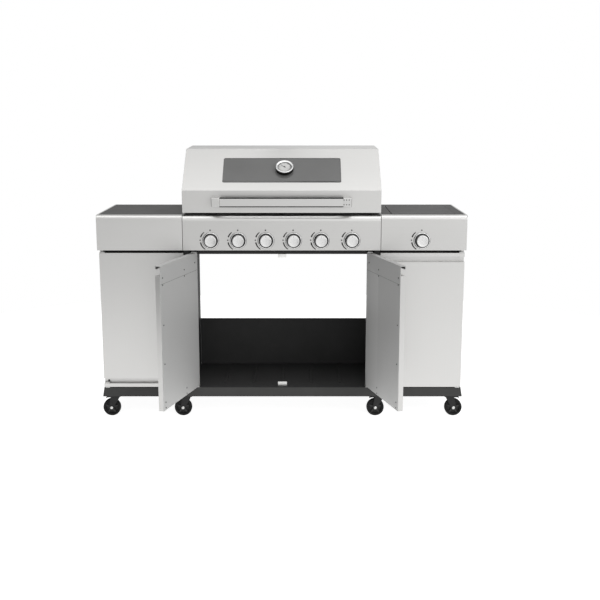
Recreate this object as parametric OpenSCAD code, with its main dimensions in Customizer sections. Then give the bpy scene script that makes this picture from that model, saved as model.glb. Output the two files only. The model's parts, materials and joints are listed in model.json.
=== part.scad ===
// Six-burner gas barbecue grill on casters, with a side burner and four cabinet doors.
// X runs along the width, Y from front to back, Z up. The origin is on the ground at the
// middle of the whole object's footprint, with the two centre doors standing open.

/* [Overall] */
// Width over the two side sections
overall_w = 1594; // [1500:1:1700]
// Width of the main head between the two side sections
head_w = 855; // [820:1:880]
// Depth from the control panel's face to the back of the cabinets
body_d = 460; // [440:1:480]
// Height of the worktops above the ground
counter_h = 911; // [900:1:940]
// Thickness of the folded steel sheet
sheet = 2; // [1.5:0.1:2.5]

/* [Control panels] */
// Height of the lower edge of the control panels
panel_low = 758; // [750:1:765]
// Radius of the main panel's rounded shoulder
main_shoulder = 28; // [20:1:30]
// Radius of the side panels' rounded shoulder
side_shoulder = 19.5; // [15:0.5:25]
// Height of the knob centres
knob_z = 800.5; // [795:0.5:815]
// Place of the first main knob along the width
knob_first = -306; // [-310:0.5:-300]
// Spacing of the first five main knobs
knob_pitch = 119; // [117:0.5:121]
// Place of the sixth main knob along the width
knob_last = 303; // [295:0.5:310]
// Place of the side burner's knob along the width
knob_side = 604; // [590:0.5:620]
// Diameter of a knob
knob_dia = 58; // [50:0.5:60]
// Depth of a knob
knob_deep = 24; // [20:0.5:28]
// Diameter of the bezel round a knob
bezel_dia = 71; // [68:0.5:76]

/* [Lid] */
// Height of the lid's lower edge
lid_low = 919.5; // [918:0.5:924]
// Height of the crease between the lid's upright band and its slope
lid_crease = 1015; // [1005:1:1025]
// Height of the upper edge of the lid's slope
lid_high = 1182; // [1170:1:1200]
// How much the lid's roof rises towards the back
lid_rise = 5; // [0:0.5:10]
// Distance from the lid's front face back to the upper edge of its slope
lid_slope_run = 205; // [190:1:220]
// Width of the window
window_w = 513; // [480:1:530]
// Height of the window along the slope
window_h = 156; // [140:1:165]
// Angle through which the lid opens
lid_travel = 80; // [60:1:85]

/* [Doors] */
// Thickness of a door
door_t = 22; // [20:0.5:24]
// Height of the lower edge of the doors
door_low = 138; // [137:0.5:142]
// Height of the upper edge of the doors
door_high = 742; // [736:0.5:745]
// Height of the finger-pull zone along one edge of a door
pull_h = 40; // [36:0.5:46]
// Distance from a door's hinge edge to its pivot
pivot_in = 12.5; // [12:0.1:14]
// Angle at which the two centre doors stand open
door_open = 106; // [90:1:106]

/* [Base and casters] */
// Height of the lower edge of the base frame
base_low = 92; // [88:1:96]
// Height of the upper edge of the base frame
base_high = 134; // [130:1:135]
// Diameter of the caster wheels
wheel_dia = 78; // [75:1:80]
// Width of the caster wheels
wheel_w = 26; // [22:1:28]
// Distance from a caster's kingpin to its axle
caster_trail = 15; // [12:1:20]
// Place of the outer casters along the width
caster_outer = 753; // [740:1:760]
// Place of the inner casters along the width
caster_inner = 432; // [425:1:440]

/* [Hidden] */
$fn = 48;

// Small gap between pieces that don't touch, and the overlap of a cut
gap = 0.5;
cut = 1;
// Running clearance of a pin in its bore, on the radius
run = 0.05;

half_w = overall_w / 2;
head_half = head_w / 2;
seam = 1;
side_in = head_half + seam;
knob_x = [for (i = [0 : 4]) knob_first + i * knob_pitch];
all_knobs = concat(knob_x, [knob_last, knob_side]);

// Colours of the finishes
steel = "silver";
dark_steel = "dimgray";
black = "black";
iron = "darkslategray";

// Doors: the closed doors' front faces lie in one plane behind the control panels
door_face = 32;
door_h = door_high - door_low;
pivot_y = door_face + door_t / 2;
post_in = head_half - 25;
swing_gap = 5;
centre_edge = post_in - swing_gap;
centre_door_w = centre_edge - 1.5;
centre_pivot = centre_edge - pivot_in;
side_edge = half_w - 1.5;
side_door_w = side_edge - head_half - 1.5;
side_pivot = side_edge - pivot_in;
skin = 1.5;
pin_r = 4;
pin_deep = 12;
post_front = door_face + 2;
panel_front = door_face + door_t + 6;

// Casters: front row first, each row from left to right
caster_front = 56;
caster_back = 428;
caster_x = [-caster_outer, -caster_inner, caster_inner, caster_outer];
caster_turn = [180, 180, 180, 0];
wheel_r = wheel_dia / 2;
axle_r = 4;
plate_t = 3;
kingpin_r = 5;
fork_top = base_low - plate_t - gap;
fork_low = fork_top - 4;

// Lid
lid_front = 10;
lid_back = 475;
lid_side = head_half - 0.5;
hinge_y = 458;
hinge_z = 940;
slope_rise = lid_high - lid_crease;
slope_len = sqrt(slope_rise * slope_rise + lid_slope_run * lid_slope_run);
slope_tilt = atan2(lid_slope_run, slope_rise);
window_low = 49;
gauge_x = 11;
gauge_along = window_low + window_h * 0.54;

// The whole footprint from front to back, for the place of the origin
reach = centre_door_w - pivot_in;
door_tip = pivot_y - reach * sin(door_open) + door_t / 2 * cos(door_open);
back_edge = lid_back;
y_shift = -(door_tip + back_edge) / 2;

// ---- helpers ----

// A block given by its two corners
module block(x0, x1, y0, y1, z0, z1) {
  translate([x0, y0, z0]) cube([x1 - x0, y1 - y0, z1 - z0]);
}

// A shape and its mirror image on the other side of the middle
module both_sides() {
  children();
  mirror([1, 0, 0]) children();
}

// An outline drawn as Y and Z, stretched from x0 to x1
module along_x(x0, x1) {
  translate([x0, 0, 0]) rotate([90, 0, 90]) linear_extrude(x1 - x0) children();
}

// An outline drawn as X and Z, stretched from y0 to y1
module along_y(y0, y1) {
  translate([0, y1, 0]) rotate([90, 0, 0]) linear_extrude(y1 - y0) children();
}

// A round bar along X, Y or Z
module bar_x(x0, x1, y, z, r) {
  translate([x0, y, z]) rotate([0, 90, 0]) cylinder(h = x1 - x0, r = r);
}
module bar_y(y0, y1, x, z, r) {
  translate([x, y1, z]) rotate([90, 0, 0]) cylinder(h = y1 - y0, r = r);
}
module bar_z(z0, z1, x, y, r) {
  translate([x, y, z0]) cylinder(h = z1 - z0, r = r);
}

// A cabinet-wide body with a rounded upper front edge
module bullnose(x0, x1, y0, y1, z0, z1, r) {
  block(x0, x1, y0, y1, z0, z1 - r);
  block(x0, x1, y0 + r, y1, z0, z1);
  bar_x(x0, x1, y0 + r, z1 - r, r);
}

// Everything is drawn with Y = 0 at the control panel's face, then moved to the origin
module placed() {
  translate([0, y_shift, 0]) children();
}

// ---- base ----

rail_w = 40;
rail_t = 2.5;
base_half = half_w;
base_flare = 7;
base_front = 36;
base_back = 448;

// A channel along X, open downwards
module rail_x(y0, half_top, half_low) {
  difference() {
    along_y(y0, y0 + rail_w)
      polygon([[-half_low, base_low], [half_low, base_low], [half_top, base_high],
        [-half_top, base_high]]);
    block(-half_top + rail_t, half_top - rail_t, y0 + rail_t, y0 + rail_w - rail_t,
      base_low - cut, base_high - rail_t);
  }
}

// A channel along Y, open downwards
module rail_y(x0) {
  difference() {
    block(x0, x0 + rail_w, base_front + rail_w, base_back - rail_w, base_low, base_high);
    block(x0 + rail_t, x0 + rail_w - rail_t, base_front + rail_w - cut,
      base_back - rail_w + cut, base_low - cut, base_high - rail_t);
  }
}

module base_frame() {
  color(black) placed() {
    rail_x(base_front, base_half, base_half + base_flare);
    rail_x(base_back - rail_w, base_half, base_half + base_flare);
    both_sides() {
      rail_y(caster_inner - rail_w / 2);
      difference() {
        along_y(base_front + rail_w, base_back - rail_w)
          polygon([[base_half - rail_w, base_low], [base_half + base_flare, base_low],
            [base_half, base_high], [base_half - rail_w, base_high]]);
        block(base_half - rail_w + rail_t, base_half - rail_t, base_front + rail_w - cut,
          base_back - rail_w + cut, base_low - cut, base_high - rail_t);
      }
    }
  }
}

pan_rim = 10;
rib_w = 12;
rib_h = 3;
rib_pitch = 130;
module floor_pans() {
  color(black) placed() {
    block(-post_in + gap, post_in - gap, base_front, body_d - 10, base_high, base_high + sheet);
    for (i = [-2 : 2])
      block(i * rib_pitch - rib_w / 2, i * rib_pitch + rib_w / 2, 110, 400,
        base_high + sheet, base_high + sheet + rib_h);
    both_sides() {
      block(side_in, half_w - sheet - gap, panel_front + 2.5, body_d - 5, base_high,
        base_high + sheet);
      block(side_in, half_w - sheet - gap, body_d - 7, body_d - 5, base_high + sheet,
        base_high + sheet + pan_rim);
    }
  }
}

flange = 14;
module outer_side_panels() {
  color(steel) placed() both_sides() {
    block(half_w - sheet, half_w, panel_front, body_d - sheet, base_high, panel_low);
    block(half_w - flange, half_w - sheet, panel_front, panel_front + sheet,
      base_high + sheet, panel_low);
    block(half_w - flange, half_w - sheet, body_d - 2 * sheet, body_d - sheet,
      base_high + sheet, panel_low);
  }
}

module partition_panels() {
  color(black) placed() both_sides() {
    block(post_in, post_in + sheet, post_front, body_d - sheet, base_high, panel_low);
    // The web's raised part that the firebox stands on
    block(post_in, post_in + sheet, box_front + 6, box_back, panel_low, box_low);
    block(post_in + sheet, head_half - gap, post_front, post_front + sheet, base_high,
      panel_low);
    block(post_in + sheet, head_half - gap, body_d - 2 * sheet, body_d - sheet, base_high,
      panel_low);
  }
}

module side_back_panels() {
  color(dark_steel) placed() both_sides() {
    difference() {
      block(head_half - 15, half_w, body_d - sheet, body_d, base_high + sheet, panel_low);
      for (i = [0 : 4])
        block(head_half + 90, half_w - 100, body_d - sheet - cut, body_d + cut,
          560 + i * 24, 568 + i * 24);
    }
  }
}

back_panel_high = 362;
module centre_back_panel() {
  color(black) placed() {
    block(-post_in + gap, post_in - gap, body_d - 12, body_d - 10, base_high + sheet,
      back_panel_high);
    block(-post_in + gap, post_in - gap, body_d - 22, body_d - 12, back_panel_high - sheet,
      back_panel_high);
  }
}

beam_low = 733;
beam_high = 752;
beam_y = 62;
back_beam_y = body_d - 34;
back_beam_low = 704;
back_beam_high = 738;
module crossbeams() {
  color(black) placed() {
    difference() {
      block(-post_in, post_in, beam_y, beam_y + 26, beam_low, beam_high);
      block(-post_in - cut, post_in + cut, beam_y + sheet, beam_y + 26 + cut,
        beam_low + sheet, beam_high - sheet);
    }
    difference() {
      block(-post_in, post_in, back_beam_y, body_d - 5, back_beam_low, back_beam_high);
      block(-post_in - cut, post_in + cut, back_beam_y + sheet, body_d - 5 - sheet,
        back_beam_low - cut, back_beam_high - sheet);
    }
    // Runners that the grease tray slides on
    both_sides() block(tray_half - 10, post_in, beam_y + 26 + gap, body_d - 10,
      tray_low - 2.3, tray_low - 0.3);
    both_sides() difference() {
      block(side_in, half_w - sheet, beam_y, beam_y + 26, beam_low, beam_high);
      block(side_in - cut, half_w, beam_y + sheet, beam_y + 26 + cut, beam_low + sheet,
        beam_high - sheet);
    }
  }
}

catch_half = 18;
module door_catches() {
  color(steel) placed() {
    difference() {
      block(-catch_half, catch_half, beam_y, beam_y + 20, beam_low - 15, beam_low);
      for (x = [-9, 9]) bar_z(beam_low - 15 - cut, beam_low - 9, x, beam_y + 10, 3);
    }
    block(-catch_half - 2, catch_half + 2, 57, 59, base_high + sheet, base_high + 21);
    block(-catch_half - 2, catch_half + 2, 59, 80, base_high + sheet, base_high + sheet + 2);
    for (x = [-11, 11]) bar_z(base_high + sheet + 2, base_high + sheet + 4, x, 70, 4);
    both_sides() block(side_in + 4, side_in + 40, beam_y, beam_y + 20, beam_low - 15, beam_low);
    both_sides() block(side_in + 4, side_in + 40, panel_front + 2.5, panel_front + 20,
      base_high + sheet, base_high + sheet + 16);
  }
}

// A door's lower and upper pivot pins, with the bracket that carries the upper one
module door_pins(x, back) {
  bar_z(base_high + sheet, door_low + pin_deep, x, pivot_y, pin_r);
  bar_z(base_high + sheet, door_low - gap, x, pivot_y, pin_r + 3);
  bar_z(door_high - pin_deep, door_high + 3, x, pivot_y, pin_r);
  block(x - 11, x + 11, pivot_y - 9, back, door_high + 1.5, door_high + 4);
}

module hinge_pins() {
  color("gray") placed() {
    both_sides() {
      door_pins(centre_pivot, beam_y);
      door_pins(side_pivot, panel_front);
      // Plate under the centre door's lower pivot
      block(centre_pivot - 14, post_in, pivot_y - 9, pivot_y + 26, base_high + sheet,
        door_low - gap);
      block(side_pivot - 12, side_pivot + 8, pivot_y - 9, panel_front - gap, base_high,
        base_high + sheet);
      // Lid brackets: a foot on the firebox rim, an upright, an arm and the pin itself
      block(lid_side - 22, lid_side - 5.5, hinge_y - 43, hinge_y - 22, box_high, box_high + 3);
      block(lid_side - 9, lid_side - 5.5, hinge_y - 43, hinge_y - 22, box_high + 3,
        hinge_z + 9);
      block(lid_side - 9, lid_side - 5.5, hinge_y - 22, hinge_y + 8, hinge_z - 9, hinge_z + 9);
      bar_x(lid_side - 10, lid_side + 4, hinge_y, hinge_z, 5);
      bar_x(lid_side + 1, lid_side + 4, hinge_y, hinge_z, 8);
    }
    // Studs on the side burner's well that its cover turns on
    bar_x(well_x0, well_x0 + 5.5, cover_hinge_y, cover_hinge_z, 2);
    bar_x(well_x1 - 5.5, well_x1, cover_hinge_y, cover_hinge_z, 2);
  }
}

caster_plate_w = 52;
caster_plate_d = 40;
module caster_plates() {
  color("gray") placed() {
    for (y = [caster_front, caster_back]) for (x = caster_x) {
      block(x - caster_plate_w / 2, x + caster_plate_w / 2, y - caster_plate_d / 2,
        y + caster_plate_d / 2, base_low - plate_t, base_low);
      bar_z(fork_low - 4.5, base_low - plate_t, x, y, kingpin_r);
      bar_z(fork_low - 4.5, fork_low - gap, x, y, kingpin_r + 4);
      // Bolt heads on the plate's upper side, inside the channel
      for (dx = [-19, 19]) for (dy = [-12, 12]) bar_z(base_low, base_low + 3, x + dx, y + dy, 4);
    }
  }
}

// One fork, drawn with its kingpin on the Z axis and its axle towards +X
leg_t = 3;
leg_y = wheel_w / 2 + 2;
module fork() {
  difference() {
    union() {
      bar_z(fork_low, fork_top, 0, 0, 19);
      // The two legs taper from the head down to the axle
      for (s = [0, 1]) mirror([0, s, 0]) along_y(leg_y, leg_y + leg_t)
        polygon([[-19, fork_top], [19, fork_top], [caster_trail + 9, wheel_r],
          [caster_trail + 6, wheel_r - 7], [caster_trail - 6, wheel_r - 7],
          [caster_trail - 9, wheel_r]]);
      block(-17, 17, -leg_y, leg_y, fork_low, fork_top);
      // Brake pedal
      block(12, 42, -9, 9, fork_low - 2, fork_low + 2);
    }
    bar_z(fork_low - 3, fork_top + cut, 0, 0, kingpin_r + run);
    bar_z(fork_low - 6, fork_low, 0, 0, kingpin_r + 5);
  }
  bar_y(-leg_y - leg_t - 3, leg_y + leg_t + 3, caster_trail, wheel_r, axle_r);
  for (s = [0, 1]) mirror([0, s, 0])
    bar_y(leg_y + leg_t, leg_y + leg_t + 3, caster_trail, wheel_r, 8);
}

// One wheel, drawn with its axle along Y through the origin
module wheel() {
  difference() {
    union() {
      bar_y(-wheel_w / 2, wheel_w / 2, 0, 0, wheel_r - 4);
      bar_y(-wheel_w / 2 + 4, wheel_w / 2 - 4, 0, 0, wheel_r);
      bar_y(-wheel_w / 2 - 1, wheel_w / 2 + 1, 0, 0, 9);
    }
    bar_y(-wheel_w / 2 - 1 - cut, wheel_w / 2 + 1 + cut, 0, 0, axle_r + run);
    // Dished faces between hub and tread, with spokes left standing
    for (s = [0, 1]) mirror([0, s, 0]) difference() {
      bar_y(wheel_w / 2 - 5, wheel_w / 2 + cut, 0, 0, wheel_r - 10);
      bar_y(wheel_w / 2 - 6, wheel_w / 2 + 2 * cut, 0, 0, 11);
      for (a = [0 : 60 : 120]) rotate([0, a, 0])
        block(-wheel_r, wheel_r, wheel_w / 2 - 6, wheel_w / 2 - 1, -3, 3);
    }
  }
}

module caster_fork(i) {
  color(black) placed()
    translate([caster_x[i % 4], i < 4 ? caster_front : caster_back, 0])
      rotate([0, 0, caster_turn[i % 4]]) fork();
}

module caster_wheel(i) {
  side = caster_turn[i % 4] == 0 ? 1 : -1;
  color("dimgray") placed()
    translate([caster_x[i % 4] + side * caster_trail, i < 4 ? caster_front : caster_back,
      wheel_r]) wheel();
}

// ---- control panels and worktops ----

stem_r = 4;
stem_hole_r = 7;
module control_panel() {
  x1 = head_half - seam;
  color(steel) placed() difference() {
    bullnose(-x1, x1, 0, 70, panel_low, counter_h, main_shoulder);
    bullnose(-x1 + sheet, x1 - sheet, sheet, 90, panel_low + sheet, counter_h - sheet,
      main_shoulder - sheet);
    block(-x1 - cut, x1 + cut, 40, 90, panel_low - cut, counter_h - sheet);
    for (i = [0 : 5]) bar_y(-cut, sheet + cut, all_knobs[i], knob_z, stem_hole_r);
  }
}

worktop_out = half_w - 7;
worktop_in = side_in + sheet;
rail_notch = 24;
hose_hole_r = 30;
module fascia(knob_hole) {
  block(side_in + sheet, half_w - sheet, sheet, 30, panel_low, panel_low + sheet);
  difference() {
    bullnose(side_in, half_w, 0, body_d, panel_low, counter_h, side_shoulder);
    bullnose(side_in + sheet, half_w - sheet, sheet, body_d - sheet, panel_low - cut,
      counter_h - sheet, side_shoulder - sheet);
    // Opening for the worktop
    block(worktop_in, worktop_out, side_shoulder + 1, body_d - 8, counter_h - sheet - cut,
      counter_h + cut);
    // Notch in the inner cheek for the gas rail
    block(side_in - cut, side_in + sheet + cut, 40, 40 + 30, panel_low - cut,
      knob_z + rail_notch);
    if (knob_hole) bar_y(-cut, sheet + cut, knob_side, knob_z, stem_hole_r);
    // Hole in the back wall that the gas hose comes in through
    if (knob_hole) bar_y(body_d - sheet - cut, body_d + cut, inlet_x, knob_z, hose_hole_r);
  }
}

module left_fascia() {
  color(steel) placed() mirror([1, 0, 0]) fascia(false);
}

module right_fascia() {
  color(steel) placed() fascia(true);
}

top_front = side_shoulder + 1 + gap;
top_back = body_d - 8 - gap;
top_lip = 14;
module worktop_pan() {
  difference() {
    block(worktop_in + gap, worktop_out - gap, top_front, top_back, counter_h - top_lip,
      counter_h);
    block(worktop_in + gap + sheet, worktop_out - gap - sheet, top_front + sheet,
      top_back - sheet, counter_h - top_lip - cut, counter_h - sheet);
  }
}

module left_worktop() {
  color(dark_steel) placed() mirror([1, 0, 0]) worktop_pan();
}

well_x0 = 474;
well_x1 = 750;
well_y0 = 26;
well_y1 = 416;
well_low = 846;
module right_worktop() {
  color(dark_steel) placed() difference() {
    union() {
      worktop_pan();
      block(well_x0 - sheet, well_x1 + sheet, well_y0 - sheet, well_y1 + sheet, well_low,
        counter_h - 1);
    }
    block(well_x0, well_x1, well_y0, well_y1, well_low + sheet, counter_h + cut);
    bar_z(well_low - cut, well_low + sheet + cut, (well_x0 + well_x1) / 2, 230, 20);
  }
}

// The flat cover over the side burner, closed, with a folded rim and hinge ears
cover_back = well_y1 - 2.5;
cover_hinge_y = cover_back - 3;
cover_hinge_z = counter_h - 3;
module side_burner_lid() {
  color(dark_steel) placed() difference() {
    block(well_x0 + 2, well_x1 - 2, well_y0 + 2, cover_back, counter_h - 16, counter_h + 1);
    block(well_x0 + 2 + sheet, well_x1 - 2 - sheet, well_y0 + 2 + sheet, cover_back - sheet,
      counter_h - 16 - cut, counter_h + 1 - sheet);
    bar_x(well_x0, well_x0 + 6, cover_hinge_y, cover_hinge_z, 2 + run);
    bar_x(well_x1 - 6, well_x1, cover_hinge_y, cover_hinge_z, 2 + run);
  }
}

module knob_bezels() {
  color("lightgray") placed() for (x = all_knobs) difference() {
    union() {
      bar_y(-3, 0, x, knob_z, bezel_dia / 2);
      bar_y(-6, -3, x, knob_z, bezel_dia / 2 - 2);
    }
    bar_y(-7, cut, x, knob_z, knob_dia / 2 + 1);
  }
}

// One knob, drawn with its axis along Y through the origin and its face towards -Y
knob_skirt = 12;
module knob() {
  r = knob_dia / 2;
  difference() {
    union() {
      bar_y(-knob_skirt, -4, 0, 0, r);
      bar_y(-knob_deep, -knob_skirt, 0, 0, r - 2.5);
    }
    bar_y(-knob_deep + 6, -4 + cut, 0, 0, stem_r + run);
    // Hollow back round the stem boss
    difference() {
      bar_y(-knob_deep + 8, -4 + cut, 0, 0, r - 5);
      bar_y(-knob_deep + 7, -4 + 2 * cut, 0, 0, stem_r + 5);
    }
    // Pointer line cut in the face
    block(-1, 1, -knob_deep - cut, -knob_deep + 1, r - 12, r - 5);
  }
}

module knob_at(i) {
  color("lightgray") placed() translate([all_knobs[i], 0, knob_z]) knob();
}

rail_y0 = 46;
rail_y1 = 64;
inlet_x = 700;
inlet_r = 10.48;
inlet_long = 12;
module gas_manifold() {
  color("goldenrod") placed() {
    difference() {
      union() {
        block(-330, inlet_x + 12, rail_y0, rail_y1, knob_z - 9, knob_z + 9);
        for (x = all_knobs) {
          bar_y(14, rail_y0 + cut, x, knob_z, 11);
          bar_y(-knob_deep + 7, 15, x, knob_z, stem_r);
        }
        // Inlet at the back of the rail: a six-sided collar and the pipe stub
        translate([inlet_x, rail_y1 + 12, knob_z]) rotate([90, 0, 0])
          cylinder(h = 12 + cut, r = 15, $fn = 6);
        bar_y(rail_y1 + 12 - cut, rail_y1 + 12 + inlet_long, inlet_x, knob_z, inlet_r);
      }
      bar_y(rail_y0 + 6, rail_y1 + 12 + inlet_long + cut, inlet_x, knob_z, 6);
    }
    // Orifices that feed the burner tubes
    for (i = [0 : 5]) bar_y(rail_y1 - cut, rail_y1 + 12, burner_x[i], knob_z, 5);
  }
}

// ---- head ----

box_half = 414;
tray_half = box_half - 20;
tray_low = 742.3;
tamer_low = 844;
box_front = 78;
box_back = 452;
box_low = 775;
box_high = 905;
wall = 3;
burner_x = [for (i = [0 : 5]) -310 + i * 124];
burner_z = knob_z;
tube_r = 12.5;

// A ledge all round the inside of the firebox
module ledge(z0, z1) {
  difference() {
    block(-box_half + 1, box_half - 1, box_front + 1, box_back - 1, z0, z1);
    block(-box_half + wall + 10, box_half - wall - 10, box_front + wall + 10,
      box_back - wall - 10, z0 - cut, z1 + cut);
  }
}

module firebox() {
  color(iron) placed() {
    difference() {
      block(-box_half, box_half, box_front, box_back, box_low, box_high);
      block(-box_half + wall, box_half - wall, box_front + wall, box_back - wall,
        box_low + wall, box_high + cut);
      // Slot over the grease tray, and the holes that the burner tubes pass through
      block(-300, 300, 200, 340, box_low - cut, box_low + wall + cut);
      for (x = burner_x) bar_y(box_front - cut, box_front + wall + cut, x, burner_z, tube_r);
    }
    // Ledges for the flame tamers and for the grates
    ledge(tamer_low - 3, tamer_low);
    ledge(grate_low - 3, grate_low);
    // Rests for the burners' rear ends
    for (x = burner_x) block(x - 15, x + 15, box_back - 22, box_back - wall,
      burner_z - tube_r - 4, burner_z - tube_r);
    // Lip that meets the control panel's upper flange
    block(-box_half, box_half, box_front, box_front + wall, box_high, counter_h - sheet);
    block(-box_half, box_half, 62, box_front, counter_h - 2 * sheet, counter_h - sheet);
  }
}

module burners() {
  color(steel) placed() for (x = burner_x) {
    difference() {
      bar_y(box_front - 4, box_back - 10, x, burner_z, tube_r);
      bar_y(box_front - 5, box_back - 14, x, burner_z, tube_r - 1.5);
      for (y = [140 : 60 : 440]) for (s = [-1, 1])
        translate([x, y, burner_z]) rotate([0, s * 60, 0]) cylinder(h = 20, r = 1.6);
    }
  }
}

module flame_tamers() {
  color(steel) placed() for (x = burner_x)
    translate([x, 0, 0]) along_y(box_front + 8, box_back - 8)
      polygon([[-46, tamer_low + 2], [0, tamer_low + 28], [46, tamer_low + 2],
        [46, tamer_low], [0, tamer_low + 25.7], [-46, tamer_low]]);
}

grate_low = 887;
grate_high = 899;
grate_y0 = box_front + wall + 2;
grate_y1 = box_back - wall - 2;
module grate(x0, x1) {
  block(x0, x0 + 10, grate_y0, grate_y1, grate_low, grate_high);
  block(x1 - 10, x1, grate_y0, grate_y1, grate_low, grate_high);
  block(x0 + 10, x1 - 10, grate_y0, grate_y0 + 10, grate_low, grate_high);
  block(x0 + 10, x1 - 10, grate_y1 - 10, grate_y1, grate_low, grate_high);
  bars = 11;
  pitch = (x1 - x0 - 10) / (bars + 1);
  for (i = [1 : bars])
    block(x0 + 5 + i * pitch - 4, x0 + 5 + i * pitch + 4, grate_y0 + 10, grate_y1 - 10,
      grate_low, grate_high);
}

third = (box_half - wall - 2) * 2 / 3;
module cooking_grates() {
  color(iron) placed() {
    grate(-third * 1.5, -third / 2 - 1);
    grate(-third / 2 + 1, third / 2 - 1);
  }
}

module griddle_plate() {
  x0 = third / 2 + 1;
  x1 = third * 1.5;
  color(iron) placed() difference() {
    block(x0, x1, grate_y0, grate_y1, grate_low, grate_high + 6);
    block(x0 + 6, x1 - 6, grate_y0 + 6, grate_y1 - 6, grate_low + 5, grate_high + 7);
    block(x0 + 60, x1 - 60, grate_y0 + 12, grate_y0 + 24, grate_low - cut, grate_low + 6);
  }
}

rack_z = 1010;
rack_half = 370;
module warming_rack() {
  color(steel) placed() {
    for (y = [318, 432]) bar_x(-rack_half, rack_half, y, rack_z, 4);
    for (i = [0 : 24]) {
      x = -rack_half + 5 + i * (2 * rack_half - 10) / 24;
      bar_y(314, 436, x, rack_z + 6.5, 2.5);
    }
    both_sides() {
      // Foot on the firebox's rim, and an upright well in front of the lid's hinge
      block(rack_half - 24, rack_half - 16, 422, box_back, box_high, box_high + 5);
      block(rack_half - 24, rack_half - 16, 422, 430, box_high, rack_z + 6);
    }
  }
}

burner_mid = (well_x0 + well_x1) / 2;
module side_burner() {
  color(iron) placed() {
    bar_z(well_low + sheet, well_low + 22, burner_mid, 230, 34);
    bar_z(well_low + 22, well_low + 32, burner_mid, 230, 42);
    bar_z(well_low - 14, well_low + sheet + cut, burner_mid, 230, 16);
    // Pan support on four feet
    for (x = [burner_mid - 110, burner_mid + 102])
      block(x, x + 8, 120, 340, well_low + 34, well_low + 42);
    for (y = [120, 332])
      block(burner_mid - 102, burner_mid + 102, y, y + 8, well_low + 34, well_low + 42);
    for (x = [burner_mid - 50, burner_mid + 42])
      block(x, x + 8, 128, 332, well_low + 34, well_low + 42);
    for (x = [burner_mid - 110, burner_mid + 102]) for (y = [120, 332])
      block(x, x + 8, y, y + 8, well_low + sheet, well_low + 34);
  }
}

module grease_tray() {
  color(steel) placed() {
    difference() {
      block(-tray_half, tray_half, 92, body_d - 6, tray_low, box_low - 7);
      block(-tray_half + sheet, tray_half - sheet, 92 + sheet, body_d - 6 - sheet,
        tray_low + sheet, box_low);
    }
    // Handle lip at the back
    block(-60, 60, body_d - 6, body_d + 8, tray_low + 2, tray_low + 4);
  }
}

module screws() {
  color("gray") placed() {
    both_sides() {
      for (y = [26, 230, 436]) bar_x(half_w, half_w + 4.5, y, counter_h - 9, 6);
      for (y = [90, 250, 436]) bar_x(half_w, half_w + 2.5, y, panel_low - 20, 5);
      for (y = [90, 250, 436]) bar_x(half_w, half_w + 2.5, y, base_high + 20, 5);
      for (z = [160, 450, 740]) bar_y(body_d, body_d + 2.5, half_w - 8, z, 5);
      for (z = [160, 450, 740]) bar_y(body_d, body_d + 2.5, head_half - 8, z, 5);
    }
    for (x = [-380, -130, 130, 380]) for (z = [150, 345])
      bar_y(body_d - 10, body_d - 7.5, x, z, 5);
  }
}

// ---- lid ----

module lid_outline(inset) {
  // The inset of the crease and of the slope's upper edge follows the bisector of each corner
  k = tan(slope_tilt / 2);
  m = tan((90 - slope_tilt) / 2);
  polygon([[lid_front + inset, lid_low - (inset > 0 ? cut : 0)],
    [lid_front + inset, lid_crease - inset * k],
    [lid_front + lid_slope_run + inset * m, lid_high - inset],
    [lid_back - inset, lid_high + lid_rise - inset],
    [lid_back - inset, lid_low - (inset > 0 ? cut : 0)]]);
}

// Places a shape on the slope: X along the width, Y up the slope, Z out of it
module on_slope(along) {
  translate([0, lid_front, lid_crease]) rotate([90 - slope_tilt, 0, 0])
    translate([0, along, 0]) children();
}

// The window's opening, with rounded corners
window_round = 8;
module window_hole() {
  w = window_w / 2;
  r = window_round;
  translate([-w, r, -15]) cube([2 * w, window_h - 2 * r, 30]);
  translate([-w + r, 0, -15]) cube([2 * w - 2 * r, window_h, 30]);
  for (x = [-w + r, w - r]) for (y = [r, window_h - r])
    translate([x, y, -15]) cylinder(h = 30, r = r);
}

module lid_shell() {
  color(steel) placed() difference() {
    along_x(-lid_side, lid_side) lid_outline(0);
    along_x(-lid_side + sheet, lid_side - sheet) lid_outline(sheet);
    on_slope(window_low) window_hole();
    bar_x(-lid_side - cut, lid_side + cut, hinge_y, hinge_z, 5 + run);
  }
}

frame_w = 12;
module lid_window() {
  color("dimgray") placed() on_slope(window_low) {
    // Glass behind the opening, held by a frame
    difference() {
      translate([-window_w / 2 - 8, -8, -sheet - 4]) cube([window_w + 16, window_h + 16, 4]);
      translate([gauge_x, gauge_along - window_low, -10]) cylinder(h = 20, r = 4);
    }
    difference() {
      translate([-window_w / 2 - frame_w, -frame_w, -sheet - 7])
        cube([window_w + 2 * frame_w, window_h + 2 * frame_w, 3]);
      translate([-window_w / 2 + frame_w, frame_w, -sheet - 8])
        cube([window_w - 2 * frame_w, window_h - 2 * frame_w, 5]);
    }
  }
}

bar_half = 262;
handle_low = 948;
handle_high = 988;
handle_y = -40;
handle_t = 10;
module lid_handle() {
  color(steel) placed() {
    difference() {
      block(-bar_half, bar_half, handle_y, handle_y + handle_t, handle_low, handle_high);
      block(-bar_half - cut, bar_half + cut, handle_y + 2, handle_y + handle_t + cut,
        handle_low + 2, handle_high - 2);
    }
    both_sides() {
      block(bar_half, bar_half + 36, handle_y + 1, handle_y + handle_t + 2, handle_low + 1,
        handle_high - 1);
      bar_y(handle_y + handle_t + 2, lid_front, bar_half + 18, 968, 14);
    }
  }
}

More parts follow.
